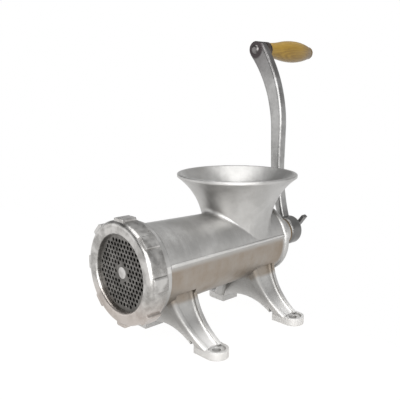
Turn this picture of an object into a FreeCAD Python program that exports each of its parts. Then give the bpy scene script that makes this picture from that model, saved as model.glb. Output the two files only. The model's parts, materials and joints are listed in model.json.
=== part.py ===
"""Bolt-down hand crank meat grinder, size 32, as a parametric FreeCAD document in millimetres.

The origin is the middle of the four foot holes on the table. +Z is up, the grinding plate looks
along -Y and the crank turns behind, at +Y. The barrel lies along Y, axis_height above the table.
"""
import FreeCAD
import Part
import math
import os
import re

import Sketcher

SIZES = {
    # stance
    "axis_height": 105,
    "foot_spacing_x": 143,
    "foot_spacing_y": 147,
    "foot_hole_radius": 5.5,
    "foot_radius": 15,
    "foot_thickness": 10,
    "foot_heel": 24,
    "foot_rim": 3.5,
    "foot_dish": 2.5,
    # legs: each is lofted through three level sections, named top, knee and ankle
    "leg_rake": 22,
    "leg_top_height": 78,
    "leg_top_inside": 17,
    "leg_top_outside": 37.5,
    "leg_top_width": 46,
    "leg_knee_height": 38,
    "leg_knee_inside": 31,
    "leg_knee_outside": 47,
    "leg_knee_width": 36,
    "leg_ankle_height": 8,
    "leg_ankle_inside": 49,
    "leg_ankle_outside": 70,
    "leg_corner": 4,
    "leg_rib": 7,
    "leg_hollow": 4.5,
    "bridge_thickness": 12,
    "bridge_arch_height": 23,
    "bridge_foot_height": 10.5,
    "bridge_half_span": 44,
    # barrel
    "ring_reach": 163,
    "nose_radius": 56,
    "nose_setback": 8,
    "collar_radius": 57.5,
    "collar_length": 8,
    "collar_slope": 4,
    "collar_round": 2,
    "barrel_front_radius": 52,
    "barrel_rear_radius": 46.5,
    "barrel_wall": 7,
    "bead_radius": 48.8,
    "bead_length": 9,
    "rear_face": 92,
    "rear_wall": 11,
    "bearing_root_radius": 24,
    "bearing_radius": 20,
    "bearing_length": 39,
    "bearing_fillet": 5,
    "knife_chamber_radius": 46.5,
    "seam_height": 11,
    "seam_width": 2.4,
    "seam_proud": 1,
    # hopper
    "hopper_back": 34.5,
    "throat_radius": 46,
    "throat_wall": 5.5,
    "flare_start": 25,
    "rim_height": 98,
    "rim_radius": 81,
    "rim_wall": 5,
    "rim_band": 4,
    "rim_round": 1.6,
    # ring nut
    "ring_length": 25,
    "ring_radius": 62,
    "ring_lip": 6,
    "ring_opening": 46,
    "ring_front_round": 6,
    "ring_mouth_round": 3.5,
    "ring_back_round": 2,
    "lug_count": 8,
    "lug_height": 3,
    "lug_width": 17,
    "lug_setback": 3,
    "lug_length": 19,
    "lug_round": 2,
    # grinding plate and its key
    "plate_radius": 49.8,
    "plate_thickness": 8,
    "plate_hole_radius": 2.1,
    "plate_hole_pitch": 6.2,
    "plate_hole_field": 44.5,
    "key_radius": 2,
    "key_reach": 3.4,
    # knife
    "knife_radius": 44,
    "knife_thickness": 12,
    "knife_hub_radius": 15,
    "blade_width": 14,
    "blade_tip_width": 9,
    "blade_thickness": 8,
    # auger and its stud
    "stud_square": 16,
    "stud_pin_radius": 7,
    "stud_shank_radius": 7,
    "stud_shank_length": 24,
    "auger_core_radius": 14,
    "auger_pitch": 46,
    "flight_thickness": 7,
    "auger_collar_radius": 24,
    "auger_collar_length": 3,
    "auger_collar_slope": 7,
    "journal_radius": 13,
    "bush_wall": 3,
    "bush_flange_radius": 20,
    "thrust_thickness": 3,
    "shank_square": 18,
    # crank
    "hub_radius": 21,
    "hub_length": 25,
    "hub_round": 6,
    "crank_neck_x": 21.5,
    "crank_neck_low": 105,
    "crank_neck_high": 150,
    "crank_tip_x": 64,
    "crank_tip_height": 268,
    "arm_root_width": 21,
    "arm_root_depth": 15,
    "arm_tip_width": 16,
    "arm_tip_depth": 12,
    "arm_corner": 4.5,
    "boss_radius": 12,
    "boss_length": 15,
    "boss_round": 1,
    # wing screw and washer
    "washer_radius": 15,
    "washer_thickness": 2.5,
    "screw_radius": 5,
    "screw_length": 22,
    "screw_boss_radius": 9,
    "screw_boss_length": 12,
    "wing_span": 44,
    "wing_height": 15,
    "wing_root": 9,
    "wing_thickness": 5,
    "wing_tilt": 30,
    # grip
    "spindle_radius": 5,
    "rivet_radius": 7,
    "rivet_height": 2.5,
    "grip_washer_radius": 10.5,
    "grip_washer_thickness": 2,
    "ferrule_radius": 12,
    "ferrule_wall": 1.8,
    "ferrule_length": 9,
    "grip_length": 107,
    "grip_neck_radius": 11,
    "grip_belly_radius": 16.6,
    "grip_belly_place": 60,
    "grip_shoulder_radius": 9.8,
    "grip_shoulder_place": 102,
    "grip_recess_radius": 8,
    "grip_recess_depth": 6,
    "end_washer_thickness": 1.5,
    "spindle_head_radius": 6.8,
    "spindle_head_height": 3,
    # fits
    "running_fit": 0.05,
    "loose_fit": 0.4,
    "face_gap": 0.2,
}

# Stations along the barrel axis, worked out from the sizes
PLATE_FRONT = "(ring_lip - ring_reach)"
PLATE_BACK = f"({PLATE_FRONT} + plate_thickness)"
KNIFE_FRONT = f"({PLATE_BACK} + face_gap)"
KNIFE_BACK = f"({KNIFE_FRONT} + knife_thickness)"
NOSE_FRONT = "(nose_setback - ring_reach)"
RING_BACK = "(ring_length - ring_reach)"
COLLAR_FRONT = f"({RING_BACK} + loose_fit)"
COLLAR_BACK = f"({COLLAR_FRONT} + collar_length)"
BARREL_FRONT = f"({COLLAR_BACK} + collar_slope)"
BEAD_FRONT = "(rear_face - bead_length)"
BORE_END = "(rear_face - rear_wall)"
BEARING_END = "(rear_face + bearing_length)"
CHAMBER_END = f"({KNIFE_BACK} + face_gap)"
HUB_FRONT = f"({BEARING_END} + face_gap + bush_wall)"
HUB_BACK = f"({HUB_FRONT} + hub_length)"
ARM_MIDDLE = f"({HUB_FRONT} + hub_length / 2)"
BOSS_FRONT = f"({ARM_MIDDLE} - boss_length / 2)"
BOSS_BACK = f"({ARM_MIDDLE} + boss_length / 2)"
FERRULE_FRONT = f"({BOSS_BACK} + grip_washer_thickness + face_gap)"
GRIP_FRONT = f"({FERRULE_FRONT} + ferrule_wall)"
GRIP_END = f"({FERRULE_FRONT} + ferrule_length + grip_length)"
BORE_FRONT_RADIUS = "(barrel_front_radius - barrel_wall)"
BORE_REAR_RADIUS = "(barrel_rear_radius - barrel_wall)"
SEAT_RADIUS = "(plate_radius + loose_fit)"
BUSH_RADIUS = "(journal_radius + running_fit + bush_wall)"

doc = FreeCAD.newDocument("meat_grinder")
sheet = doc.addObject("Spreadsheet::Sheet", "dims")
for line, (alias, size) in enumerate(SIZES.items(), 1):
    sheet.set(f"A{line}", alias)
    sheet.set(f"B{line}", str(size))
    sheet.setAlias(f"B{line}", alias)
doc.recompute()


def bound(expression):
    """The expression with each size's name pointing at its cell."""
    return re.sub(r"[a-z_]+", lambda word: ("dims." if word[0] in SIZES else "") + word[0], expression)


def value(expression):
    """What the expression comes to with the present sizes."""
    return float(sheet.evalExpression(bound(expression)))


def new_body(name, height="axis_height"):
    """An empty body whose own origin stands at the given height above the table."""
    body = doc.addObject("PartDesign::Body", name)
    body.Label = name
    body.setExpression("Placement.Base.z", bound(height))
    return body


def new_sketch(body, plane, name, across="0", up="0", out="0"):
    """A sketch on one of the body's origin planes, moved in its own axes."""
    sketch = body.newObject("Sketcher::SketchObject", f"{body.Name}_{name}")
    support = [datum for datum in body.Origin.OriginFeatures if datum.Role == plane][0]
    sketch.AttachmentSupport = [(support, "")]
    sketch.MapMode = "FlatFace"
    for axis, shift in zip("xyz", (across, up, out)):
        sketch.setExpression(f"AttachmentOffset.Base.{axis}", bound(shift))
    return sketch


def fix(sketch, kind, geometry, point, expression):
    """Binds a point's distance from the sketch's origin to an expression."""
    constraint = Sketcher.Constraint(kind, -1, 1, geometry, point, value(expression))
    index = sketch.addConstraint(constraint)
    sketch.setExpression(f"Constraints[{index}]", bound(expression))


def add_arc(sketch, here, there, radius, side):
    """An arc between two points that bulges to the left of the way with side 1, to the right with
    side -1. A sketch's arcs run anticlockwise, so it gives which end, 1 or 2, lies at each point."""
    chord = there - here
    left = FreeCAD.Vector(-chord.y, chord.x, 0).normalize()
    reach = math.sqrt(value(radius) ** 2 - (chord.Length / 2) ** 2)
    centre = (here + there) / 2 - left * (reach * side)
    start, end = (there, here) if side > 0 else (here, there)
    angles = [math.atan2(point.y - centre.y, point.x - centre.x) for point in (start, end)]
    whole = Part.Circle(centre, FreeCAD.Vector(0, 0, 1), value(radius))
    index = sketch.addGeometry(Part.ArcOfCircle(whole, *angles), False)
    constraint = sketch.addConstraint(Sketcher.Constraint("Radius", index, value(radius)))
    sketch.setExpression(f"Constraints[{constraint}]", bound(radius))
    return (2, 1) if side > 0 else (1, 2)


def chain(sketch, corners, arcs, closed):
    """Lines and arcs through the corners, joined end to end, with every corner bound."""
    count = len(corners)
    points = [FreeCAD.Vector(value(across), value(up), 0) for across, up in corners]
    first = len(sketch.Geometry)
    ends = []
    for edge in range(count if closed else count - 1):
        here, there = points[edge], points[(edge + 1) % count]
        if edge in arcs:
            ends.append(add_arc(sketch, here, there, *arcs[edge]))
        else:
            sketch.addGeometry(Part.LineSegment(here, there), False)
            ends.append((1, 2))
    for edge in range(len(ends)):
        after = (edge + 1) % len(ends)
        fix(sketch, "DistanceX", first + edge, ends[edge][0], corners[edge][0])
        fix(sketch, "DistanceY", first + edge, ends[edge][0], corners[edge][1])
        if closed or after:
            meeting = (first + edge, ends[edge][1], first + after, ends[after][0])
            sketch.addConstraint(Sketcher.Constraint("Coincident", *meeting))
    if not closed:
        last = first + len(ends) - 1
        fix(sketch, "DistanceX", last, ends[-1][1], corners[-1][0])
        fix(sketch, "DistanceY", last, ends[-1][1], corners[-1][1])


def outline(sketch, corners, arcs=None):
    """A closed outline through the corners. arcs gives an edge's (radius, side) where it is round."""
    chain(sketch, corners, arcs or {}, True)


def circle(sketch, across, up, radius):
    """A circle with its centre and radius bound."""
    centre = FreeCAD.Vector(value(across), value(up), 0)
    index = sketch.addGeometry(Part.Circle(centre, FreeCAD.Vector(0, 0, 1), value(radius)), False)
    fix(sketch, "DistanceX", index, 3, across)
    fix(sketch, "DistanceY", index, 3, up)
    constraint = sketch.addConstraint(Sketcher.Constraint("Radius", index, value(radius)))
    sketch.setExpression(f"Constraints[{constraint}]", bound(radius))


def box(sketch, left, right, low, high):
    """A rectangle between two pairs of sides."""
    outline(sketch, [(left, low), (right, low), (right, high), (left, high)])


def rounded_box(sketch, left, right, low, high, radius):
    """A rectangle whose corners are quarter circles."""
    corners = [
        (f"{left} + {radius}", low), (f"{right} - {radius}", low),
        (right, f"{low} + {radius}"), (right, f"{high} - {radius}"),
        (f"{right} - {radius}", high), (f"{left} + {radius}", high),
        (left, f"{high} - {radius}"), (left, f"{low} + {radius}"),
    ]
    outline(sketch, corners, {edge: (radius, -1) for edge in (1, 3, 5, 7)})


def feature(body, kind, sketch, name, **settings):
    """A PartDesign feature made from a sketch, recomputed at once."""
    item = body.newObject(f"PartDesign::{kind}", f"{body.Name}_{name}")
    item.Profile = sketch
    for key, setting in settings.items():
        if isinstance(setting, str) and key in ("Length", "Pitch", "Height", "Turns"):
            item.setExpression(key, bound(setting))
        else:
            setattr(item, key, setting)
    doc.recompute()
    return item


def turned(body, kind, sketch, name, axis="H_Axis"):
    """A Revolution or Groove of a sketch about one of its own axes."""
    return feature(body, kind, sketch, name, ReferenceAxis=(sketch, [axis]), Angle=360)


def rounding(body, name, base, radius, wanted):
    """A fillet on each edge of the base that the test picks."""
    edges = [f"Edge{number}" for number, edge in enumerate(base.Shape.Edges, 1) if wanted(edge)]
    item = body.newObject("PartDesign::Fillet", f"{body.Name}_{name}")
    item.Base = (base, edges)
    item.setExpression("Radius", bound(radius))
    doc.recompute()
    return item


def hoop(edge, station, radius, axis="y"):
    """True for a whole circle of a radius at a station along an axis, both given as expressions."""
    curve = edge.Curve
    if not isinstance(curve, Part.Circle) or len(edge.Vertexes) > 1:
        return False
    place = getattr(curve.Center, axis)
    return abs(place - value(station)) < 1e-3 and abs(curve.Radius - value(radius)) < 1e-3


def revolved_part(name, corners, arcs=None, across="0", height="axis_height"):
    """A body turned from one profile of (station along Y, radius) corners about an axis along Y."""
    body = new_body(name, height)
    body.setExpression("Placement.Base.x", bound(across))
    profile = new_sketch(body, "YZ_Plane", "profile")
    outline(profile, corners, arcs)
    turned(body, "Revolution", profile, "turning")
    return body


def tangent_radius(run, rise):
    """The radius of an arc that starts along its run and ends after it, rise to the side."""
    return f"((({run})^2 + ({rise})^2) / (2 * ({rise})))"


def leg_section(body, name, height, inside, outside, width, middle, side):
    """One level section of a leg."""
    section = new_sketch(body, "XY_Plane", name, out=f"{height} - axis_height")
    near, far = (inside, outside) if side > 0 else (f"-{outside}", f"-{inside}")
    rounded_box(section, near, far, f"{middle} - {width} / 2", f"{middle} + {width} / 2", "leg_corner")
    return section


def leg(body, side, row):
    """A raked leg with a hollow outer face between two ribs, and its foot with a bolt hole."""
    name = ("right" if side > 0 else "left") + ("_rear" if row > 0 else "_front")
    foot = f"({row} * foot_spacing_y / 2)"
    levels = [
        ("top", f"({foot} - leg_rake)", "leg_top_width"),
        ("knee", f"({foot} - leg_rake / 2)", "leg_knee_width"),
        ("ankle", foot, "2 * foot_radius"),
    ]
    solid, hollow = [], []
    for level, middle, width in levels:
        size = f"leg_{level}"
        solid.append(leg_section(body, f"{name}_{level}", f"{size}_height", f"{size}_inside",
                                 f"{size}_outside", width, middle, side))
        hollow.append(leg_section(body, f"{name}_{level}_hollow", f"{size}_height",
                                  f"({size}_outside - leg_hollow)", f"({size}_outside + 3 * leg_hollow)",
                                  f"({width} - 2 * leg_rib)", middle, side))
    feature(body, "AdditiveLoft", solid[0], f"{name}_leg", Sections=solid[1:])
    feature(body, "SubtractiveLoft", hollow[0], f"{name}_hollow", Sections=hollow[1:])
    plan = new_sketch(body, "XY_Plane", f"{name}_plan", out="-axis_height")
    across = f"({side} * foot_spacing_x / 2)"
    heel = f"({across} - {side} * foot_heel)"
    corners = [(heel, f"{foot} - foot_radius"), (across, f"{foot} - foot_radius"),
               (f"{across} + {side} * foot_radius", foot), (across, f"{foot} + foot_radius"),
               (heel, f"{foot} + foot_radius")]
    outline(plan, corners, {1: ("foot_radius", -side), 2: ("foot_radius", -side)})
    feature(body, "Pad", plan, f"{name}_foot", Length="foot_thickness")
    dish = new_sketch(body, "XY_Plane", f"{name}_dish", out="foot_thickness - axis_height")
    reach = "(foot_radius - foot_rim)"
    back = f"({side} * (leg_ankle_outside - leg_hollow))"
    corners = [(back, f"{foot} - {reach}"), (across, f"{foot} - {reach}"),
               (f"{across} + {side} * {reach}", foot), (across, f"{foot} + {reach}"),
               (back, f"{foot} + {reach}")]
    outline(dish, corners, {1: (reach, -side), 2: (reach, -side)})
    feature(body, "Pocket", dish, f"{name}_foot_dish", Length="foot_dish")
    return across, foot


def bridge(body, row):
    """The arched web that joins a pair of legs under the barrel."""
    middle = f"({row} * foot_spacing_y / 2 - leg_rake / 2)"
    web = new_sketch(body, "XZ_Plane", f"bridge_{'rear' if row > 0 else 'front'}", out=f"-{middle}")
    rise = "(bridge_arch_height - bridge_foot_height)"
    low = "bridge_foot_height - axis_height"
    high = "-barrel_rear_radius + barrel_wall / 2"
    corners = [("-bridge_half_span", low), ("bridge_half_span", low),
               ("leg_top_outside - leg_hollow", high), ("leg_hollow - leg_top_outside", high)]
    outline(web, corners, {0: (tangent_radius("bridge_half_span", rise), 1)})
    feature(body, "Pad", web, f"{web.Name}_web", Length="bridge_thickness", Midplane=True)


def body_casting():
    """Barrel, hopper, four legs and the rear bearing neck in one tinned casting."""
    body = new_body("body_casting")
    barrel = new_sketch(body, "YZ_Plane", "barrel")
    outline(barrel, [
        (NOSE_FRONT, "0"), (NOSE_FRONT, "nose_radius"), (COLLAR_FRONT, "nose_radius"),
        (COLLAR_FRONT, "collar_radius"), (COLLAR_BACK, "collar_radius"),
        (BARREL_FRONT, "barrel_front_radius"), (BEAD_FRONT, "barrel_rear_radius"),
        ("rear_face", "barrel_rear_radius"), ("rear_face", "bearing_root_radius"),
        (BEARING_END, "bearing_radius"), (BEARING_END, "0"),
    ], {6: (tangent_radius("bead_length / 2", "(bead_radius - barrel_rear_radius)"), 1)})
    base = turned(body, "Revolution", barrel, "barrel_turning")
    base = rounding(body, "collar_rounding", base, "collar_round",
                    lambda edge: hoop(edge, COLLAR_BACK, "collar_radius"))
    rounding(body, "bearing_rounding", base, "bearing_fillet",
             lambda edge: hoop(edge, "rear_face", "bearing_root_radius"))
    seam = new_sketch(body, "XY_Plane", "seam", out="seam_height - seam_width / 2")
    front = "sqrt(barrel_front_radius^2 - seam_height^2)"
    rear = "sqrt(barrel_rear_radius^2 - seam_height^2)"
    for side in (1, -1):
        outline(seam, [
            (f"{side} * ({front} - barrel_wall / 2)", BARREL_FRONT),
            (f"{side} * ({front} + seam_proud)", BARREL_FRONT),
            (f"{side} * ({rear} + seam_proud)", BEAD_FRONT),
            (f"{side} * ({rear} - barrel_wall / 2)", BEAD_FRONT),
        ])
    feature(body, "Pad", seam, "casting_seam", Length="seam_width")
    flare = new_sketch(body, "YZ_Plane", "flare", across="hopper_back")
    band = "(rim_height - rim_band)"
    outer = tangent_radius(f"({band} - flare_start)", "(rim_radius - throat_radius)")
    outline(flare, [
        ("0", "0"), ("throat_radius", "0"), ("throat_radius", "flare_start"),
        ("rim_radius", band), ("rim_radius", "rim_height"), ("0", "rim_height"),
    ], {2: (outer, 1)})
    turned(body, "Revolution", flare, "hopper_turning", "V_Axis")
    feet = [leg(body, side, row) for side in (1, -1) for row in (-1, 1)]
    for row in (-1, 1):
        bridge(body, row)
    bore = new_sketch(body, "YZ_Plane", "bore")
    outline(bore, [
        (NOSE_FRONT, "0"), (NOSE_FRONT, SEAT_RADIUS), (KNIFE_FRONT, SEAT_RADIUS),
        (KNIFE_FRONT, "knife_chamber_radius"), (CHAMBER_END, "knife_chamber_radius"),
        (CHAMBER_END, BORE_FRONT_RADIUS), (BORE_END, BORE_REAR_RADIUS), (BORE_END, BUSH_RADIUS),
        (BEARING_END, BUSH_RADIUS), (BEARING_END, "0"),
    ])
    turned(body, "Groove", bore, "boring")
    mouth = new_sketch(body, "YZ_Plane", "mouth", across="hopper_back")
    inside = "(throat_radius - throat_wall)"
    inner = tangent_radius("(rim_height - flare_start)", f"(rim_radius - rim_wall - {inside})")
    outline(mouth, [
        ("0", "0"), (inside, "0"), (inside, "flare_start"),
        ("rim_radius - rim_wall", "rim_height"), ("0", "rim_height"),
    ], {2: (inner, 1)})
    base = turned(body, "Groove", mouth, "hopper_hollow", "V_Axis")
    rounding(body, "rim_rounding", base, "rim_round",
             lambda edge: hoop(edge, "rim_height", "rim_radius", "z")
             or hoop(edge, "rim_height", "rim_radius - rim_wall", "z"))
    holes = new_sketch(body, "XY_Plane", "holes", out="-axis_height")
    for across, foot in feet:
        circle(holes, across, foot, "foot_hole_radius")
    feature(body, "Pocket", holes, "bolt_holes", Length="foot_thickness * 3", Reversed=True)
    key = new_sketch(body, "XY_Plane", "key")
    circle(key, "0", f"({NOSE_FRONT} + {PLATE_BACK}) / 2", "key_radius + running_fit")
    feature(body, "Pocket", key, "key_hole", Length="nose_radius * 2")
    return body


def ring_nut():
    """The ring that screws over the nose and holds the plate, with raised lugs to grip it by."""
    bore = "(nose_radius + loose_fit)"
    body = revolved_part("ring_nut", [
        ("-ring_reach", "ring_opening"), ("-ring_reach", "ring_radius"), (RING_BACK, "ring_radius"),
        (RING_BACK, bore), (PLATE_FRONT, bore), (PLATE_FRONT, "ring_opening"),
    ])
    start = "(lug_setback - ring_reach)"
    base = body.Tip
    base = rounding(body, "front_round", base, "ring_front_round",
                    lambda edge: hoop(edge, "-ring_reach", "ring_radius"))
    base = rounding(body, "mouth_round", base, "ring_mouth_round",
                    lambda edge: hoop(edge, "-ring_reach", "ring_opening"))
    base = rounding(body, "back_round", base, "ring_back_round",
                    lambda edge: hoop(edge, RING_BACK, "ring_radius"))
    lug = new_sketch(body, "XZ_Plane", "lug", out=f"-{start}")
    rounded_box(lug, "ring_radius - ring_lip / 2", "ring_radius + lug_height", "-lug_width / 2",
                "lug_width / 2", "lug_round")
    pad = feature(body, "Pad", lug, "lug_pad", Length="lug_length", Reversed=True)
    pattern = body.newObject("PartDesign::PolarPattern", "ring_nut_lugs")
    pattern.Originals = [pad]
    pattern.Axis = (lug, ["N_Axis"])
    pattern.Angle = 360
    pattern.setExpression("Occurrences", bound("lug_count"))
    body.Tip = pattern
    doc.recompute()
    return body


def grinding_plate():
    """The perforated plate: a six-fold field of holes on a triangular grid round the stud's hole."""
    body = new_body("grinding_plate")
    disc = new_sketch(body, "XZ_Plane", "disc", out=f"-{PLATE_FRONT}")
    circle(disc, "0", "0", "plate_radius")
    circle(disc, "0", "0", "stud_pin_radius + running_fit")
    feature(body, "Pad", disc, "blank", Length="plate_thickness", Reversed=True)
    notch = new_sketch(body, "XZ_Plane", "notch", out=f"-{PLATE_FRONT}")
    side = "(key_radius + loose_fit)"
    box(notch, f"-{side}", side, f"-plate_radius - loose_fit", "loose_fit + key_reach - plate_radius")
    feature(body, "Pocket", notch, "key_notch", Length="plate_thickness")
    field = new_sketch(body, "XZ_Plane", "field", out=f"-{PLATE_FRONT}")
    reach = value("plate_hole_field - plate_hole_radius")
    pitch = value("plate_hole_pitch")
    clear = value("stud_pin_radius + 2 * plate_hole_radius")
    for ring in range(1, int(2 * reach / pitch)):
        for step in range(ring):
            distance = pitch * math.sqrt(ring**2 - ring * step + step**2)
            if clear < distance < reach:
                circle(field, f"plate_hole_pitch * {ring - step / 2}",
                       f"plate_hole_pitch * {step} * sqrt(3) / 2", "plate_hole_radius")
    sector = feature(body, "Pocket", field, "hole_sector", Length="plate_thickness")
    pattern = body.newObject("PartDesign::PolarPattern", "grinding_plate_holes")
    pattern.Originals = [sector]
    pattern.Axis = (field, ["N_Axis"])
    pattern.Angle = 360
    pattern.Occurrences = 6
    body.Tip = pattern
    doc.recompute()
    return body


def plate_key():
    """The pin in the nose that stops the plate from turning."""
    body = new_body("plate_key")
    pin = new_sketch(body, "XY_Plane", "pin", out=f"-{SEAT_RADIUS} + key_reach")
    circle(pin, "0", f"({NOSE_FRONT} + {PLATE_BACK}) / 2", "key_radius")
    feature(body, "Pad", pin, "pin_pad", Length=f"nose_radius - {SEAT_RADIUS} + key_reach - face_gap",
            Reversed=True)
    return body


def cross_knife():
    """The four-winged knife that wipes the back of the plate."""
    body = new_body("cross_knife")
    hub = new_sketch(body, "XZ_Plane", "hub", out=f"-{KNIFE_FRONT}")
    circle(hub, "0", "0", "knife_hub_radius")
    feature(body, "Pad", hub, "hub_pad", Length="knife_thickness", Reversed=True)
    blade = new_sketch(body, "XZ_Plane", "blade", out=f"-{KNIFE_FRONT}")
    tip = "knife_radius"
    outline(blade, [("0", "-blade_width / 2"), (tip, "blade_width / 2 - blade_tip_width"),
                    (tip, "blade_width / 2"), ("0", "blade_width / 2")],
            {0: ("knife_radius * 1.6", -1)})
    wing = feature(body, "Pad", blade, "blade_pad", Length="blade_thickness", Reversed=True)
    pattern = body.newObject("PartDesign::PolarPattern", "cross_knife_blades")
    pattern.Originals = [wing]
    pattern.Axis = (blade, ["N_Axis"])
    pattern.Angle = 360
    pattern.Occurrences = 4
    body.Tip = pattern
    doc.recompute()
    square = new_sketch(body, "XZ_Plane", "square", out=f"-{KNIFE_FRONT}")
    half = "(stud_square / 2 + running_fit)"
    box(square, f"-{half}", half, f"-{half}", half)
    feature(body, "Pocket", square, "square_hole", Length="knife_thickness")
    return body


def feed_auger():
    """The screw: a tapering left-hand flight on a core, with a journal and a square shank behind."""
    start = f"({KNIFE_BACK} + face_gap)"
    collar_back = f"({BORE_END} - thrust_thickness)"
    collar_front = f"({collar_back} - auger_collar_length)"
    core_end = f"({collar_front} - auger_collar_slope)"
    journal_end = f"({BEARING_END} + bush_wall)"
    end = f"({HUB_BACK} - washer_thickness)"
    body = revolved_part("feed_auger", [
        (start, "0"), (start, "auger_core_radius"), (core_end, "auger_core_radius"),
        (collar_front, "auger_collar_radius"), (collar_back, "auger_collar_radius"),
        (collar_back, "journal_radius"), (journal_end, "journal_radius"), (journal_end, "0"),
    ])
    flight = new_sketch(body, "YZ_Plane", "flight")
    box(flight, start, f"{start} + flight_thickness", "auger_core_radius - flight_thickness / 3",
        "barrel_front_radius")
    run = f"({collar_back} - {start} - flight_thickness)"
    feature(body, "AdditiveHelix", flight, "helix", ReferenceAxis=(flight, ["H_Axis"]),
            Mode="pitch-height-angle", Pitch="auger_pitch", Height=run, Angle=0, LeftHanded=True)
    trim = new_sketch(body, "YZ_Plane", "trim")
    gap = "2 * loose_fit"
    before = f"({start} - flight_thickness)"
    outline(trim, [
        (before, f"{BORE_FRONT_RADIUS} - {gap}"), (start, f"{BORE_FRONT_RADIUS} - {gap}"),
        (BORE_END, f"{BORE_REAR_RADIUS} - {gap}"), (BORE_END, "2 * barrel_front_radius"),
        (before, "2 * barrel_front_radius"),
    ])
    turned(body, "Groove", trim, "flight_taper")
    shank = new_sketch(body, "XZ_Plane", "shank", out=f"-{journal_end}")
    half = "shank_square / 2"
    box(shank, f"-{half}", half, f"-{half}", half)
    feature(body, "Pad", shank, "shank_pad", Length=f"{end} - {journal_end}", Reversed=True)
    tapped = new_sketch(body, "XZ_Plane", "tapped", out=f"-{end}")
    circle(tapped, "0", "0", "screw_radius + loose_fit")
    feature(body, "Pocket", tapped, "tapped_hole", Length="screw_length + screw_radius", Reversed=True)
    socket = new_sketch(body, "XZ_Plane", "socket", out=f"-{start}")
    circle(socket, "0", "0", "stud_shank_radius")
    feature(body, "Pocket", socket, "stud_socket", Length="stud_shank_length")
    return body


def auger_stud():
    """The stud in the auger's front: a round pin for the plate, a square for the knife and a shank."""
    body = new_body("auger_stud")
    pin = new_sketch(body, "XZ_Plane", "pin", out=f"-{PLATE_FRONT}")
    circle(pin, "0", "0", "stud_pin_radius")
    feature(body, "Pad", pin, "pin_pad", Length=f"{KNIFE_FRONT} - {PLATE_FRONT}", Reversed=True)
    square = new_sketch(body, "XZ_Plane", "square", out=f"-{KNIFE_FRONT}")
    half = "stud_square / 2"
    box(square, f"-{half}", half, f"-{half}", half)
    feature(body, "Pad", square, "square_pad", Length=f"{CHAMBER_END} - {KNIFE_FRONT}", Reversed=True)
    shank = new_sketch(body, "XZ_Plane", "shank", out=f"-{CHAMBER_END}")
    circle(shank, "0", "0", "stud_shank_radius")
    feature(body, "Pad", shank, "shank_pad", Length="stud_shank_length - face_gap", Reversed=True)
    return body


def rear_bush():
    """The flanged bush in the bearing neck, between the casting and the crank hub."""
    return revolved_part("rear_bush", [
        (BORE_END, "journal_radius + running_fit"), (BORE_END, BUSH_RADIUS),
        (BEARING_END, BUSH_RADIUS), (BEARING_END, "bush_flange_radius"),
        (f"{BEARING_END} + bush_wall", "bush_flange_radius"),
        (f"{BEARING_END} + bush_wall", "journal_radius + running_fit"),
    ])


def thrust_washer():
    """The washer that takes the push of the auger on the rear wall."""
    front = f"({BORE_END} - thrust_thickness)"
    return revolved_part("thrust_washer", [
        (front, "journal_radius + running_fit"), (front, "auger_collar_radius"),
        (f"{BORE_END} - face_gap", "auger_collar_radius"),
        (f"{BORE_END} - face_gap", "journal_radius + running_fit"),
    ])


def crank_arm():
    """The bent crank: a hub, an arm swept along arc, line and arc, and a boss for the spindle."""
    body = new_body("crank_arm")
    hub = new_sketch(body, "XZ_Plane", "hub", out=f"-{HUB_FRONT}")
    circle(hub, "0", "0", "hub_radius")
    base = feature(body, "Pad", hub, "hub_pad", Length="hub_length", Reversed=True)
    rounding(body, "hub_rounding", base, "hub_round",
             lambda edge: hoop(edge, HUB_FRONT, "hub_radius") or hoop(edge, HUB_BACK, "hub_radius"))
    spine = new_sketch(body, "XZ_Plane", "spine", out=f"-{ARM_MIDDLE}")
    path = [("0", "0"), ("-crank_neck_x", "crank_neck_low"), ("-crank_neck_x", "crank_neck_high"),
            ("-crank_tip_x", "crank_tip_height")]
    lower = tangent_radius("crank_neck_low", "crank_neck_x")
    upper = tangent_radius("(crank_tip_height - crank_neck_high)", "(crank_tip_x - crank_neck_x)")
    chain(spine, path, {0: (lower, 1), 2: (upper, -1)}, False)
    doc.recompute()
    root = new_section(body, spine, "root", "Edge1", 0)
    rounded_box(root, "-arm_root_width / 2", "arm_root_width / 2", "-arm_root_depth / 2",
                "arm_root_depth / 2", "arm_corner")
    tip = new_section(body, spine, "tip", "Edge3", 1)
    rounded_box(tip, "-arm_tip_width / 2", "arm_tip_width / 2", "-arm_tip_depth / 2",
                "arm_tip_depth / 2", "arm_corner")
    doc.recompute()
    feature(body, "AdditivePipe", root, "arm", Spine=(spine, ["Edge1", "Edge2", "Edge3"]),
            Transformation="Multisection", Sections=[tip])
    boss = new_sketch(body, "XZ_Plane", "boss", out=f"-{BOSS_FRONT}")
    circle(boss, "-crank_tip_x", "crank_tip_height", "boss_radius")
    base = feature(body, "Pad", boss, "boss_pad", Length="boss_length", Reversed=True)
    rounding(body, "boss_rounding", base, "boss_round",
             lambda edge: hoop(edge, BOSS_FRONT, "boss_radius") or hoop(edge, BOSS_BACK, "boss_radius"))
    bore = new_sketch(body, "XZ_Plane", "bore", out=f"-{BOSS_FRONT}")
    circle(bore, "-crank_tip_x", "crank_tip_height", "spindle_radius")
    feature(body, "Pocket", bore, "spindle_hole", Length="boss_length")
    square = new_sketch(body, "XZ_Plane", "square", out=f"-{HUB_FRONT}")
    half = "(shank_square / 2 + running_fit)"
    box(square, f"-{half}", half, f"-{half}", half)
    feature(body, "Pocket", square, "square_hole", Length="hub_length")
    return body


def new_section(body, spine, name, edge, place):
    """A sketch square to an edge of the spine, at a share of the edge's length."""
    section = body.newObject("Sketcher::SketchObject", f"{body.Name}_{name}")
    section.AttachmentSupport = [(spine, edge)]
    section.MapMode = "NormalToEdge"
    section.MapPathParameter = place
    doc.recompute()
    return section


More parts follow.
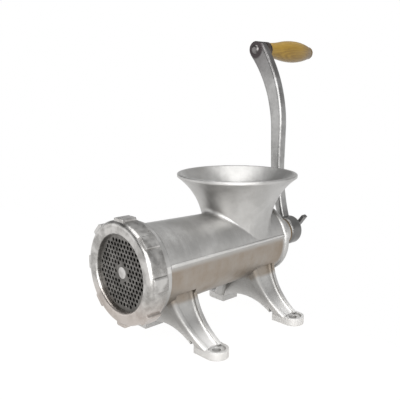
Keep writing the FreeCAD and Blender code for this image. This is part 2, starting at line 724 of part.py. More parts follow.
def crank_washer():
    """The plain washer under the wing screw."""
    return revolved_part("crank_washer", [
        (HUB_BACK, "screw_radius + loose_fit"), (HUB_BACK, "washer_radius"),
        (f"{HUB_BACK} + washer_thickness", "washer_radius"),
        (f"{HUB_BACK} + washer_thickness", "screw_radius + loose_fit"),
    ])


def wing_screw():
    """The wing screw that holds the crank on the auger's shank."""
    seat = f"({HUB_BACK} + washer_thickness)"
    back = f"({seat} + screw_boss_length)"
    body = revolved_part("wing_screw", [
        (f"{HUB_BACK} - screw_length", "0"), (f"{HUB_BACK} - screw_length", "screw_radius"),
        (seat, "screw_radius"), (seat, "screw_boss_radius"), (back, "screw_boss_radius * 0.7"),
        (back, "0"),
    ])
    wings = new_sketch(body, "YZ_Plane", "wings")
    for side in ("", "-"):
        outline(wings, [
            (f"{seat} + wing_thickness / 2", f"{side}screw_radius"),
            (f"{seat} + wing_root + wing_thickness / 2", f"{side}screw_radius"),
            (f"{seat} + wing_height + wing_thickness / 2", f"{side}wing_span / 2"),
            (f"{seat} + wing_root", f"{side}wing_span / 2"),
        ])
    feature(body, "Pad", wings, "wing_pad", Length="wing_thickness", Midplane=True)
    body.Placement = FreeCAD.Placement(FreeCAD.Vector(), FreeCAD.Vector(0, 1, 0), value("wing_tilt"))
    body.setExpression("Placement.Rotation.Angle", bound("wing_tilt"))
    return body


def grip_spindle():
    """The spindle riveted into the crank's boss, with a head in the end of the grip."""
    head = f"({GRIP_END} - grip_recess_depth + end_washer_thickness)"
    return revolved_part("grip_spindle", [
        (f"{BOSS_FRONT} - rivet_height", "0"), (f"{BOSS_FRONT} - rivet_height", "rivet_radius / 2"),
        (BOSS_FRONT, "rivet_radius"), (BOSS_FRONT, "spindle_radius"), (head, "spindle_radius"),
        (head, "spindle_head_radius"), (f"{head} + spindle_head_height", "spindle_head_radius * 0.7"),
        (f"{head} + spindle_head_height", "0"),
    ], {1: ("rivet_radius", 1)}, "-crank_tip_x", "axis_height + crank_tip_height")


def on_spindle(name, corners, arcs=None):
    """A piece turned about the spindle's axis."""
    return revolved_part(name, corners, arcs, "-crank_tip_x", "axis_height + crank_tip_height")


def grip_washer():
    """The washer between the crank's boss and the ferrule."""
    return on_spindle("grip_washer", [
        (BOSS_BACK, "spindle_radius"), (BOSS_BACK, "grip_washer_radius"),
        (f"{BOSS_BACK} + grip_washer_thickness", "grip_washer_radius"),
        (f"{BOSS_BACK} + grip_washer_thickness", "spindle_radius"),
    ])


def grip_ferrule():
    """The cup-shaped ferrule on the neck of the grip."""
    end = f"({FERRULE_FRONT} + ferrule_length)"
    return on_spindle("grip_ferrule", [
        (FERRULE_FRONT, "spindle_radius + running_fit"), (FERRULE_FRONT, "ferrule_radius"),
        (end, "ferrule_radius"), (end, "ferrule_radius - ferrule_wall"),
        (GRIP_FRONT, "ferrule_radius - ferrule_wall"), (GRIP_FRONT, "spindle_radius + running_fit"),
    ])


def wood_grip():
    """The turned wooden grip: a slim neck that swells to a belly and closes in a round end."""
    neck = f"({FERRULE_FRONT} + ferrule_length)"
    belly = f"({neck} + grip_belly_place)"
    shoulder = f"({neck} + grip_shoulder_place)"
    swell = "(grip_belly_radius - grip_neck_radius)"
    wave = tangent_radius("grip_belly_place / 2", f"{swell} / 2")
    narrowing = "(grip_belly_radius - grip_shoulder_radius)"
    fall = tangent_radius("(grip_shoulder_place - grip_belly_place)", narrowing)
    bore = "spindle_radius + running_fit"
    bed = f"({GRIP_END} - grip_recess_depth)"
    return on_spindle("wood_grip", [
        (GRIP_FRONT, bore), (GRIP_FRONT, "ferrule_radius - ferrule_wall"),
        (neck, "ferrule_radius - ferrule_wall"), (neck, "grip_neck_radius"),
        (f"{neck} + grip_belly_place / 2", f"grip_neck_radius + {swell} / 2"),
        (belly, "grip_belly_radius"), (shoulder, "grip_shoulder_radius"),
        (GRIP_END, "grip_recess_radius"), (bed, "grip_recess_radius"), (bed, bore),
    ], {3: (wave, -1), 4: (wave, 1), 5: (fall, 1), 6: ("grip_length - grip_shoulder_place", 1)})


def grip_end_washer():
    """The washer under the spindle's head."""
    bed = f"({GRIP_END} - grip_recess_depth + face_gap)"
    back = f"({GRIP_END} - grip_recess_depth + end_washer_thickness)"
    return on_spindle("grip_end_washer", [
        (bed, "spindle_radius"), (bed, "grip_recess_radius - loose_fit"),
        (back, "grip_recess_radius - loose_fit"), (back, "spindle_radius"),
    ])


PIECES = [
    body_casting, plate_key, rear_bush, ring_nut, grinding_plate, cross_knife, feed_auger, auger_stud,
    thrust_washer, crank_arm, crank_washer, wing_screw, grip_spindle, grip_washer, grip_ferrule, wood_grip,
    grip_end_washer,
]
bodies = [piece() for piece in PIECES]
doc.recompute()
for item in doc.Objects:
    if "Invalid" in item.State or "Error" in item.State:
        raise RuntimeError(f"{item.Name} failed: {item.State}")
os.makedirs("parts", exist_ok=True)
for body in bodies:
    if body.Shape.isNull() or not body.Shape.isValid():
        raise RuntimeError(f"{body.Label} has no valid shape")
    print(f"{body.Label}: {len(body.Shape.Solids)} solid, {body.Shape.Volume / 1000:.1f} cm3")
    body.Shape.exportStep(f"parts/{body.Label}.step")
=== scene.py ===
"""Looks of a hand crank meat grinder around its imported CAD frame, in metres.

The frame gives every piece its shape. This script adds the finishes, the cast fillet between hopper
and barrel, the flash along the mould's joint, the screw threads, a plain studio and the camera of the
photograph.
"""

import json
import math

import bpy
import numpy as np
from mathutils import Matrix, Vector


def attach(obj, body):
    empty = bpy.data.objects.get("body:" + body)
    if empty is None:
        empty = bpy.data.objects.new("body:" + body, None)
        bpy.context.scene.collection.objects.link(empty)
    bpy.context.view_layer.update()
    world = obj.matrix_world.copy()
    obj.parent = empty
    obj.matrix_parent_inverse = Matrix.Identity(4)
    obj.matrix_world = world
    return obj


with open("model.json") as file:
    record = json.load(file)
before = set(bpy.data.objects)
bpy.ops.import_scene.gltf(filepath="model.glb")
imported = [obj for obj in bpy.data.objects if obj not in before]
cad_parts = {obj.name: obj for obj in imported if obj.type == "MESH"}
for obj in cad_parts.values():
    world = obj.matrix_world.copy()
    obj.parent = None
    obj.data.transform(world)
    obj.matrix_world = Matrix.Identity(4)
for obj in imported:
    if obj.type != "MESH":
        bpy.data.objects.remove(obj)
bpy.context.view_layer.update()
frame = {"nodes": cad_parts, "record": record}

# Where the pieces are. The axes of the barrel and of the grip run along Y
AXIS_HEIGHT = 0.105
BARREL_FRONT = -0.1256
BARREL_REAR = 0.083
BARREL_FRONT_RADIUS = 0.052
BARREL_REAR_RADIUS = 0.0465
BARREL_TAPER = (BARREL_REAR_RADIUS - BARREL_FRONT_RADIUS) / (BARREL_REAR - BARREL_FRONT)
BARREL_MIDDLE_RADIUS = BARREL_FRONT_RADIUS - BARREL_TAPER * BARREL_FRONT
SEAM_HEIGHT = 0.011
SEAM_LEVEL = AXIS_HEIGHT + SEAM_HEIGHT
HOPPER_BACK = 0.0345
THROAT_RADIUS = 0.046
FLARE_START = AXIS_HEIGHT + 0.025
FLARE_RADIUS = 0.0855
GRIP_AXIS = (-0.064, 0.373)
GRIP_END = 0.272
BOSS_RADIUS = 0.012
NOSE_THREAD = {"start": -0.1525, "end": -0.1405, "radius": 0.056, "pitch": 0.003}
WING_THREAD = {"start": 0.1382, "end": 0.1565, "radius": 0.005, "pitch": 0.0015}

# Where marks, painted reflections, painted shade and painted light on the finishes begin and end:
# distances from the barrel's axis, stations along it and heights above the table
STREAK_REACH = (0.0545, 0.0575)
# The barrel's painted warm reflection: its reach from the axis, its rear end and its top
WARM_REFLECTION_REACH = (0.0525, 0.058)
WARM_REFLECTION_REAR = (BARREL_REAR - 0.006, BARREL_REAR)
WARM_REFLECTION_TOP = (SEAM_LEVEL - 0.008, SEAM_LEVEL)
# The top of the ring's painted warm reflection
RING_WARM_REFLECTION_TOP = (AXIS_HEIGHT - 0.045, AXIS_HEIGHT - 0.01)
OIL_REACH = (0.024, 0.034)
# Heights over which the painted shade weakens going up
SHADE_TOP = (0.145, 0.175)
# Heights of the painted light on the feet
FEET_TOP = (0.012, 0.04)
# Rise and half width of the flash that takes a painted highlight
FLASH_RISE = (0.0002, 0.0012)
FLASH_HALF_WIDTH = 0.004
GRIP_DARK_END = (GRIP_END - 0.045, GRIP_END)
TREE_HEART = (GRIP_AXIS[0] + 0.03, GRIP_AXIS[1] - 0.02)

# How far a shape reaches to give another painted shade, and the turning marks per metre
CASTING_SHADE_REACH = 0.13
RING_SHADE_REACH = 0.02
LATHE_LINES = 900.0

# Colour of the painted shade where a place is hidden
PAINTED_SHADE = (0.1, 0.092, 0.08, 1.0)
WHITE = (1.0, 1.0, 1.0, 1.0)

# The floor: its paper, how bright and how large its white share is, and its edges
FLOOR_PAPER = (0.55, 0.49, 0.42, 1.0)
FLOOR_GLOW = 1.13
FLOOR_SEEN = 0.86
FLOOR_HALF = 6.0
FLOOR_LEVEL = -0.0004
TABLE_EDGE = 0.105

# The room: the sines of the white sweep's top and of its soft edge, the way from the left wall to the
# right one, where on it the walls change, their brightness, and the even light on the object
SWEEP_TOP = 0.17
SWEEP_EDGE = 0.1
SIDE_WAY = (0.682, 0.731)
WALL_CHANGE = (-0.7, 0.5)
LEFT_WALL = 0.2
RIGHT_WALL = 0.5
ROOM_LIGHT = 0.25

# Each lamp's name, place, target, width, height and power in watts
OBJECT_MIDDLE = (0.0, 0.0, 0.12)
LAMPS = (
    ("front_box", (0.95, -0.95, 0.62), (0.1, -0.15, 0.1), 1.5, 1.3, 23.0),
    ("left_box", (-1.0, -1.1, 0.35), OBJECT_MIDDLE, 1.0, 0.8, 1.6),
    ("top_box", (0.1, -0.2, 1.9), OBJECT_MIDDLE, 1.5, 1.5, 18.0),
)

# Camera of the photograph
CAMERA_PLACE = (0.5142, -0.5132, 0.3106)
CAMERA_FORWARD = (-0.71804, 0.66958, -0.18995)
CAMERA_LENS = 50.4
CAMERA_SENSOR = 36.0
CAMERA_NEAR = 0.01
CAMERA_FAR = 50.0


class Wire:
    """An output socket in a node tree. Arithmetic on it adds Math nodes."""

    def __init__(self, tree, socket=None):
        self.tree = tree
        self.socket = socket

    def node(self, kind, sockets=None, out=0, **settings):
        """Adds a node with its settings, then its sockets' values or links, and gives one output."""
        made = self.tree.nodes.new(kind)
        for name, setting in settings.items():
            setattr(made, name, setting)
        for key, given in (sockets or {}).items():
            if isinstance(given, Wire):
                self.tree.links.new(given.socket, made.inputs[key])
            else:
                made.inputs[key].default_value = given
        return Wire(self.tree, made.outputs[out] if made.outputs else None)

    def math(self, operation, *operands):
        return self.node("ShaderNodeMath", dict(enumerate(operands)), operation=operation)

    def __add__(self, other):
        return self.math("ADD", self, other)

    __radd__ = __add__

    def __sub__(self, other):
        return self.math("SUBTRACT", self, other)

    def __rsub__(self, other):
        return self.math("SUBTRACT", other, self)

    def __mul__(self, other):
        return self.math("MULTIPLY", self, other)

    def __truediv__(self, other):
        return self.math("DIVIDE", self, other)

    def __pow__(self, other):
        return self.math("POWER", self, other)

    def larger(self, other):
        """The larger of two values."""
        return self.math("MAXIMUM", self, other)

    def centred(self):
        """Noise with its middle moved from 0.5 to 0."""
        return self - 0.5

    def step(self, low, high, start=0.0, end=1.0):
        """A smooth step from start to end between two values."""
        sockets = {"Value": self, "From Min": low, "From Max": high, "To Min": start, "To Max": end}
        return self.node("ShaderNodeMapRange", sockets, interpolation_type="SMOOTHSTEP")

    def fade(self, low, high, start=1.0, end=0.0):
        """A smooth fall from start to end between two values."""
        return self.step(low, high, start, end)

    def noise(self, scale, detail=3.0, roughness=0.55):
        """Noise at this place, from about 0.3 to 0.7."""
        sockets = {"Vector": self, "Scale": scale, "Detail": detail, "Roughness": roughness}
        return self.node("ShaderNodeTexNoise", sockets, out="Fac")

    def stretched(self, across, along, up):
        """This place with its axes scaled."""
        return self.node("ShaderNodeMapping", {"Vector": self, "Scale": (across, along, up)})

    def blend(self, under, over):
        """Two colours mixed by this value."""
        return self.node("ShaderNodeMix", {0: self, 6: under, 7: over}, out=2, data_type="RGBA")


def colour(red, green, blue):
    """An opaque colour."""
    return (red, green, blue, 1.0)


def new_material(name):
    """An empty material, with a wire for its tree and one for its place."""
    material = bpy.data.materials.new(name)
    material.use_nodes = True
    material.node_tree.nodes.clear()
    start = Wire(material.node_tree)
    place = start.node("ShaderNodeTexCoord", out="Object")
    return material, start, place


def axes(place):
    """The three coordinates of a place."""
    split = place.node("ShaderNodeSeparateXYZ", {"Vector": place})
    outputs = split.socket.node.outputs
    return [Wire(place.tree, outputs[number]) for number in range(3)]


def from_axis(across, up, middle_x, middle_z):
    """Distance from an axis along Y."""
    off_x = across - middle_x
    off_z = up - middle_z
    return (off_x * off_x + off_z * off_z) ** 0.5


def barrel_radius(along):
    """The barrel's outer radius at a station along Y."""
    return along * BARREL_TAPER + BARREL_MIDDLE_RADIUS


def relief(start, height, depth, edge):
    """A normal with edges rounded by a bevel of radius edge, and a height from 0 to 1 raised by depth."""
    soft = start.node("ShaderNodeBevel", {"Radius": edge}, samples=6)
    sockets = {"Strength": 1.0, "Distance": depth, "Height": height, "Normal": soft}
    return start.node("ShaderNodeBump", sockets)


def occlusion_shade(start, reach):
    """Painted shade: 0 where a piece stands free, 1 where its own and other shapes hide it within a reach.
    """
    free = start.node("ShaderNodeAmbientOcclusion", {"Distance": reach}, out="AO", samples=6)
    return free.fade(0.16, 0.66)


def surface(start, **sockets):
    """Ends a material with one principled surface."""
    named = {key.replace("_", " "): given for key, given in sockets.items()}
    shader = start.node("ShaderNodeBsdfPrincipled", named)
    start.node("ShaderNodeOutputMaterial", {"Surface": shader})


def tinned_casting():
    """Tinned cast iron: cloudy tin with a fine sand skin and wiping streaks round the barrel, a painted
    warm reflection on the barrel below its seam, painted shade where shapes hide a place, strongest low
    down, and feet and flash worn rougher and less metallic, with painted light in their colour."""
    material, start, place = new_material("tinned_casting")
    across, along, up = axes(place)
    dull_tin = colour(0.44, 0.435, 0.425)
    bright_tin = colour(0.54, 0.535, 0.525)
    # A warm colour for the painted reflection low on the barrel
    warm_reflection = colour(0.3, 0.25, 0.2)
    # A light colour for the painted light on the feet and the painted highlight on the flash
    painted_light_tin = colour(0.82, 0.815, 0.805)
    cloud = place.noise(34.0, detail=5.0, roughness=0.6)
    skin = place.noise(520.0, detail=2.0)
    dents = place.noise(120.0, detail=2.0)
    streak = place.stretched(7.0, 330.0, 7.0).noise(1.0)
    reach = from_axis(across, up, 0.0, AXIS_HEIGHT)
    wiped = streak.centred() * reach.fade(*STREAK_REACH)
    worn = (cloud + wiped * 0.3).step(0.33, 0.7)
    # Painted warm reflection on the barrel below its seam, up to its rear end
    below = up.fade(*WARM_REFLECTION_TOP) * (reach.fade(*WARM_REFLECTION_REACH) * along.fade(*WARM_REFLECTION_REAR))
    warm_reflected = below * (0.85 + cloud.centred() * 1.1 + wiped * 0.12)
    # Painted shade where shapes hide a place, full low down and weaker up the hopper
    shaded = occlusion_shade(start, CASTING_SHADE_REACH) * up.fade(*SHADE_TOP, 1.0, 0.4)
    proud = reach - barrel_radius(along)
    level = (up - SEAM_LEVEL) / FLASH_HALF_WIDTH
    # Painted highlight on the flash along the seam
    flash = proud.step(*FLASH_RISE, 0.0, 0.5) * (level * level).fade(0.6, 1.0)
    # Painted light on the feet, less where the painted shade falls
    feet = up.fade(*FEET_TOP) * (1.0 - shaded * 0.7)
    # Feet and flash: worn rougher and less metallic, with painted light in their colour
    rubbed_and_lit = feet.larger(flash)
    # The tint takes the painted warm reflection, the painted shade and the painted light in turn
    tint = warm_reflected.blend(worn.blend(dull_tin, bright_tin), warm_reflection)
    tint = (shaded * 0.85).blend(tint, PAINTED_SHADE)
    tint = rubbed_and_lit.blend(tint, painted_light_tin)
    dull = 0.4 + worn * 0.06 + skin.centred() * 0.12 + wiped * 0.1 + rubbed_and_lit * 0.1
    height = cloud * 0.35 + dents * 0.25 + skin * 0.16 + wiped * 0.06
    surface(start, Base_Color=tint, Metallic=0.92 - rubbed_and_lit * 0.45, Roughness=dull,
            Normal=relief(start, height, depth=0.0011, edge=0.0013))
    return material


def tinned_ring():
    """The ring nut's tin: worn bright in clouds, with a painted warm reflection low down and painted
    shade where its lugs hide it."""
    material, start, place = new_material("tinned_ring")
    up = axes(place)[2]
    dull_tin = colour(0.33, 0.322, 0.31)
    bright_tin = colour(0.56, 0.55, 0.535)
    # A warm colour for the painted reflection low on the ring
    warm_reflection = colour(0.5, 0.42, 0.37)
    cloud = place.noise(60.0, detail=5.0, roughness=0.6)
    skin = place.noise(600.0, detail=2.0)
    worn = cloud.step(0.38, 0.62)
    # Painted warm reflection low on the ring, at half strength
    warm_reflected = up.fade(*RING_WARM_REFLECTION_TOP, 0.5)
    tint = warm_reflected.blend(worn.blend(dull_tin, bright_tin), warm_reflection)
    # Painted shade where the lugs hide the ring
    tint = (occlusion_shade(start, RING_SHADE_REACH) * 0.6).blend(tint, PAINTED_SHADE)
    dull = 0.28 + worn * 0.08 + skin.centred() * 0.12
    height = cloud * 0.5 + skin * 0.14
    surface(start, Base_Color=tint, Metallic=1.0, Roughness=dull,
            Normal=relief(start, height, depth=0.0009, edge=0.0012))
    return material


def crank_tin():
    """The forged crank: tinned along the arm, oily round the hub, and burnt dark round the boss where
    the rivet is set, with smoke that fades down the arm."""
    material, start, place = new_material("crank_tin")
    across, _, up = axes(place)
    dull_tin = colour(0.25, 0.248, 0.244)
    bright_tin = colour(0.38, 0.377, 0.372)
    oily_tin = colour(0.13, 0.127, 0.123)
    burnt_tin = colour(0.07, 0.06, 0.062)
    cloud = place.noise(48.0, detail=5.0, roughness=0.6)
    skin = place.noise(520.0, detail=2.0)
    worn = cloud.step(0.35, 0.66)
    off_grip = from_axis(across, up, *GRIP_AXIS)
    smoke = off_grip.fade(BOSS_RADIUS, BOSS_RADIUS * 6, 0.5)
    burnt = off_grip.fade(BOSS_RADIUS * 0.95, BOSS_RADIUS * 1.5).larger(smoke)
    oiled = from_axis(across, up, 0.0, AXIS_HEIGHT).fade(*OIL_REACH, 0.65)
    tint = oiled.blend(worn.blend(dull_tin, bright_tin), oily_tin)
    tint = burnt.blend(tint, burnt_tin)
    dull = 0.28 + worn * 0.1 + skin.centred() * 0.12 + burnt * 0.08
    height = cloud * 0.5 + skin * 0.16
    surface(start, Base_Color=tint, Metallic=1.0, Roughness=dull,
            Normal=relief(start, height, depth=0.001, edge=0.0012))
    return material


def plate_steel():
    """The grinding plate: dark steel with rings left by its grinding."""
    material, start, place = new_material("plate_steel")
    across, along, up = axes(place)
    dark_steel = colour(0.1, 0.096, 0.09)
    light_steel = colour(0.21, 0.203, 0.193)
    reach = from_axis(across, up, 0.0, AXIS_HEIGHT)
    turned = start.node("ShaderNodeCombineXYZ", {"X": reach * LATHE_LINES, "Y": along * 30.0})
    rings = turned.noise(1.0, detail=2.0)
    cloud = place.noise(70.0, detail=4.0)
    worn = (cloud + rings.centred() * 0.5).step(0.35, 0.7)
    tint = worn.blend(dark_steel, light_steel)
    dull = 0.4 + rings.centred() * 0.2 + worn * 0.06
    surface(start, Base_Color=tint, Metallic=1.0, Roughness=dull,
            Normal=relief(start, rings, depth=0.00006, edge=0.0004))
    return material


def turned_metal(name, dark, light, rough, soot=0.0):
    """Machined metal with fine lines round its axis and a cloudy handling mark. Its soot is where the
    rivet was set hot."""
    material, start, place = new_material(name)
    across, _, up = axes(place)
    sooty = colour(0.09, 0.082, 0.084)
    cloud = place.noise(90.0, detail=4.0)
    lines = place.stretched(20.0, LATHE_LINES, 20.0).noise(1.0, detail=2.0)
    worn = (cloud + lines.centred() * 0.6).step(0.34, 0.68)
    burnt = from_axis(across, up, *GRIP_AXIS).fade(BOSS_RADIUS, BOSS_RADIUS * 1.2, soot)
    tint = burnt.blend(worn.blend(colour(*dark), colour(*light)), sooty)
    dull = rough + lines.centred() * 0.15 + worn * 0.06
    surface(start, Base_Color=tint, Metallic=1.0, Roughness=dull,
            Normal=relief(start, lines, depth=0.00005, edge=0.0005))
    return material


def fibre():
    """Pressed brown fibre of the thrust washer."""
    material, start, place = new_material("fibre")
    dark_fibre = colour(0.16, 0.06, 0.035)
    light_fibre = colour(0.3, 0.13, 0.07)
    fleck = place.noise(700.0, detail=4.0)
    tint = fleck.step(0.35, 0.65).blend(dark_fibre, light_fibre)
    surface(start, Base_Color=tint, Metallic=0.0, Roughness=0.7 + fleck.centred() * 0.2,
            Normal=relief(start, fleck, depth=0.0001, edge=0.0004))
    return material


def grip_wood():
    """Varnished beech: rings about the tree's heart and fibres drawn out along the grip, with clouds of
    handling and a dark end."""
    material, start, place = new_material("grip_wood")
    across, along, up = axes(place)
    pale_wood = colour(0.4, 0.248, 0.034)
    dark_wood = colour(0.235, 0.132, 0.013)
    handled_wood = colour(0.13, 0.075, 0.025)
    wander = place.stretched(1.0, 0.12, 1.0).noise(55.0)
    turns = from_axis(across, up, *TREE_HEART) * 2600.0 + wander * 16.0
    rings = (turns.math("SINE", turns) + 1.0) * 0.5
    fibres = place.stretched(900.0, 30.0, 900.0).noise(1.0, detail=4.0, roughness=0.7)
    cloud = place.stretched(1.0, 0.4, 1.0).noise(38.0)
    figure = (rings * 0.16 + fibres * 0.6 + cloud * 0.4).step(0.36, 0.86)
    handled = cloud.step(0.52, 0.7) * 0.3 + along.step(*GRIP_DARK_END, 0.0, 0.8)
    tint = handled.blend(figure.blend(pale_wood, dark_wood), handled_wood)
    surface(start, Base_Color=tint, Metallic=0.0, Roughness=0.38 + fibres.centred() * 0.2,
            Coat_Weight=0.18, Coat_Roughness=0.25,
            Normal=relief(start, fibres, depth=0.00012, edge=0.0006))
    return material


def finishes():
    """The material of each of the record's slots."""
    return {
        "tinned_casting": tinned_casting(),
        "tinned_ring": tinned_ring(),
        "crank_tin": crank_tin(),
        "plate_steel": plate_steel(),
        "bright_steel": turned_metal("bright_steel", dark=(0.42, 0.41, 0.4), light=(0.62, 0.61, 0.6),
                                     rough=0.3, soot=0.8),
        "bush_bronze": turned_metal("bush_bronze", dark=(0.17, 0.125, 0.08), light=(0.3, 0.22, 0.135),
                                    rough=0.4),
        "ferrule_steel": turned_metal("ferrule_steel", dark=(0.06, 0.05, 0.046),
                                      light=(0.16, 0.135, 0.12), rough=0.4),
        "fibre": fibre(),
        "grip_wood": grip_wood(),
    }


def grid_mesh(name, points, ring=False):
    """A surface through a grid of points, rows by columns. A ring joins its last row to its first."""
    rows, columns = points.shape[:2]
    index = np.arange(rows * columns).reshape(rows, columns)
    if ring:
        index = np.vstack([index, index[:1]])
    faces = np.stack([index[:-1, :-1], index[1:, :-1], index[1:, 1:], index[:-1, 1:]], axis=-1)
    mesh = bpy.data.meshes.new(name)
    mesh.from_pydata(points.reshape(-1, 3), [], faces.reshape(-1, 4))
    mesh.shade_smooth()
    piece = bpy.data.objects.new(name, mesh)
    bpy.context.scene.collection.objects.link(piece)
    return piece


def flare_radius(height):
    """The hopper's outer radius at a height: a cylinder, then an arc that leaves it upright."""
    rise = np.clip(height - FLARE_START, 0.0, None)
    return THROAT_RADIUS + FLARE_RADIUS - np.sqrt(FLARE_RADIUS ** 2 - rise ** 2)


def on_barrel(angle, reach):
    """The point of the barrel's skin below a point at this angle and reach from the hopper's axis.
    Angle 0 looks to the plate. Height is the axis plus the root of radius squared less x squared."""
    across = reach * np.sin(angle)
    along = HOPPER_BACK - reach * np.cos(angle)
    height = AXIS_HEIGHT + np.sqrt(np.clip(barrel_radius(along) ** 2 - across ** 2, 0.0, None))
    return np.stack([across, along, height], axis=-1)


def hopper_fillet(front_width=0.009, rear_width=0.004, side_width=0.0012, bury=0.0002,
                  stations=240, profile=13, rounds=12):
    """The cast fillet where the hopper stands on the barrel, a closed band carried round the joint.

    At each angle the joint is where the flare's skin meets the barrel's, found in a few rounds. The
    band's profile is a quadratic curve from a point one width out on the barrel, bent towards the
    joint, to a point one width up the flare. The width is a smooth share of its front, side and rear
    values, by the fourth power of the angle's cosine.
    """
    angle = np.linspace(0.0, 2 * math.pi, stations, endpoint=False)
    reach = np.full_like(angle, THROAT_RADIUS)
    for _ in range(rounds):
        joint = on_barrel(angle, reach)
        reach = flare_radius(joint[:, 2])
    turn = np.cos(angle)
    end_width = np.where(turn > 0, front_width, rear_width)
    width = side_width + (end_width - side_width) * turn ** 4
    low = on_barrel(angle, reach + width) - [0.0, 0.0, bury]
    height = joint[:, 2] + width
    inner = flare_radius(height) - bury
    high = np.stack([inner * np.sin(angle), HOPPER_BACK - inner * turn, height], axis=-1)
    share = np.linspace(0.0, 1.0, profile)[None, :, None]
    points = (1 - share) ** 2 * low[:, None]
    points = points + 2 * share * (1 - share) * joint[:, None]
    points = points + share ** 2 * high[:, None]
    piece = grid_mesh("hopper_fillet", points, ring=True)
    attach(piece, "casting")
    return piece


def seam_bead(side, radius=0.0017, ends=0.006, stations=121, profile=9, wrap=0.62):
    """The rounded flash left along the mould's joint on one side of the barrel.

    An arc of the bead's radius, from minus to plus wrap times a half turn, carried along the barrel at
    the seam's height with its middle on the barrel's skin. The radius falls to nothing over both ends
    by a sine.
    """
    along = np.linspace(BARREL_FRONT, BARREL_REAR, stations)
    inset = np.clip(np.minimum(along - BARREL_FRONT, BARREL_REAR - along) / ends, 0.0, 1.0)
    swell = radius * np.sin(inset * math.pi / 2)
    skin = barrel_radius(along)
    turn = math.asin(SEAM_HEIGHT / BARREL_REAR_RADIUS)
    angle = np.linspace(-wrap, wrap, profile) * math.pi
    reach = skin[:, None] + swell[:, None] * np.cos(angle)
    rise = swell[:, None] * np.sin(angle)
    across = reach * math.cos(turn) - rise * math.sin(turn)
    height = AXIS_HEIGHT + reach * math.sin(turn) + rise * math.cos(turn)
    points = np.stack([side * across, np.broadcast_to(along[:, None], across.shape), height], axis=-1)
    piece = grid_mesh("seam_bead_right" if side > 0 else "seam_bead_left", points[:, ::side])
    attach(piece, "casting")
    return piece


def screw_thread(name, body, slot, start, end, radius, pitch,
                 depth=0.0003, foot=0.33, flat=0.1, sink=0.2, per_turn=72):
    """A thread's ridge on the barrel's axis, its profile carried along a right-hand helix.

    The profile is four points: two feet a third of the pitch to each side, sunk in the shaft by a share
    of the depth, and two crest corners. At angle a the ridge is at start plus pitch times a over a
    whole turn, and it sinks into the shaft over its first and last half turns.
    """
    turns = (end - start) / pitch
    angle = np.linspace(0.0, 2 * math.pi * turns, int(turns * per_turn) + 1)
    offset = np.array([-foot, -flat, flat, foot]) * pitch
    crest = np.array([-sink, 1.0, 1.0, -sink]) * depth
    run_in = np.clip(np.minimum(angle, angle[-1] - angle) / math.pi, 0.0, 1.0)
    reach = radius - sink * depth + (crest + sink * depth)[None, :] * run_in[:, None]
    along = start + pitch * angle[:, None] / (2 * math.pi) + offset[None, :]
    points = np.stack([reach * np.cos(angle)[:, None], along,
                       AXIS_HEIGHT - reach * np.sin(angle)[:, None]], axis=-1)
    piece = grid_mesh(name, points)
    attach(piece, body)
    return piece


def dress(materials):
    """Gives each CAD node the finish of its slot in the record."""
    for piece in frame["record"]["subparts"]:
        node = frame["nodes"][piece["node"]]
        node.data.materials.clear()
        node.data.materials.append(materials[piece["material_slot"]])


def seen(start):
    """1 for rays of the camera and for those that metal and varnish reflect or pass on, 0 for the rest."""
    path = start.node("ShaderNodeLightPath").socket.node.outputs
    camera, glossy, through = (Wire(start.tree, path[f"Is {ray} Ray"])
                               for ray in ("Camera", "Glossy", "Transmission"))
    return camera.larger(glossy).larger(through)


def studio_floor():
    """A wide pale floor, white to the camera and in the metal, that still takes the object's shadow. It
    ends behind the rear feet as a table does, because the crank swings lower than the feet."""
    material, start, _ = new_material("floor_paper")
    paper = start.node("ShaderNodeBsdfDiffuse", {"Color": FLOOR_PAPER})
    glow = start.node("ShaderNodeEmission", {"Color": WHITE, "Strength": FLOOR_GLOW})
    shown = start.node("ShaderNodeMixShader", {0: seen(start) * FLOOR_SEEN, 1: paper, 2: glow})
    start.node("ShaderNodeOutputMaterial", {"Surface": shown})
    outline = [(-FLOOR_HALF, -FLOOR_HALF), (FLOOR_HALF, -FLOOR_HALF),
               (FLOOR_HALF, TABLE_EDGE), (-FLOOR_HALF, TABLE_EDGE)]
    mesh = bpy.data.meshes.new("floor")
    mesh.from_pydata([(across, along, FLOOR_LEVEL) for across, along in outline], [], [(0, 1, 2, 3)])
    mesh.materials.append(material)
    floor = bpy.data.objects.new("floor", mesh)
    bpy.context.scene.collection.objects.link(floor)


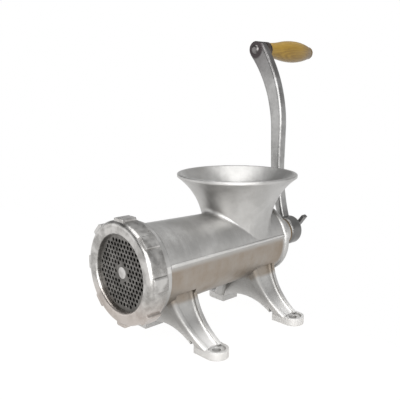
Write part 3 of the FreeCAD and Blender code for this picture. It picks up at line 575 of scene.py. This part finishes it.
def studio_world():
    """A white sweep round the floor and a dim room above it, darker on the left. The camera sees it as
    metal reflects it, and its light on the object is even."""
    world = bpy.data.worlds.new("studio")
    world.use_nodes = True
    world.node_tree.nodes.clear()
    start = Wire(world.node_tree)
    across, along, up = axes(start.node("ShaderNodeTexCoord", out="Generated"))
    sideways = across * SIDE_WAY[0] + along * SIDE_WAY[1]
    walls = sideways.step(*WALL_CHANGE, LEFT_WALL, RIGHT_WALL)
    sweep = up.fade(SWEEP_TOP, SWEEP_TOP + SWEEP_EDGE)
    shown = sweep + (1.0 - sweep) * walls
    looked_at = seen(start)
    strength = looked_at * shown + (1.0 - looked_at) * ROOM_LIGHT
    light = start.node("ShaderNodeBackground", {"Color": WHITE, "Strength": strength})
    start.node("ShaderNodeOutputWorld", {"Surface": light})
    bpy.context.scene.world = world


def softbox(name, place, target, width, height, power):
    """A white rectangular area light aimed at a point."""
    light = bpy.data.lights.new(name, "AREA")
    light.shape = "RECTANGLE"
    light.size = width
    light.size_y = height
    light.energy = power
    lamp = bpy.data.objects.new(name, light)
    lamp.location = place
    lamp.rotation_euler = (Vector(target) - Vector(place)).to_track_quat("-Z", "Y").to_euler()
    bpy.context.scene.collection.objects.link(lamp)


def photo_camera():
    """The photograph's camera."""
    data = bpy.data.cameras.new("photo_camera")
    data.lens = CAMERA_LENS
    data.sensor_width = CAMERA_SENSOR
    data.clip_start = CAMERA_NEAR
    data.clip_end = CAMERA_FAR
    camera = bpy.data.objects.new("photo_camera", data)
    camera.location = CAMERA_PLACE
    camera.rotation_euler = Vector(CAMERA_FORWARD).to_track_quat("-Z", "Y").to_euler()
    bpy.context.scene.collection.objects.link(camera)
    bpy.context.scene.camera = camera


materials = finishes()
dress(materials)
for cast in (hopper_fillet(), seam_bead(1), seam_bead(-1)):
    cast.data.materials.append(materials["tinned_casting"])

nose = screw_thread("nose_thread", "casting", "tinned_casting", **NOSE_THREAD)
nose.data.materials.append(materials["tinned_casting"])
shaft = screw_thread("wing_screw_thread", "wing", "crank_tin", **WING_THREAD)
shaft.data.materials.append(materials["crank_tin"])

studio_floor()
studio_world()
for lamp in LAMPS:
    softbox(*lamp)
photo_camera()

bpy.context.scene.view_settings.view_transform = "Standard"
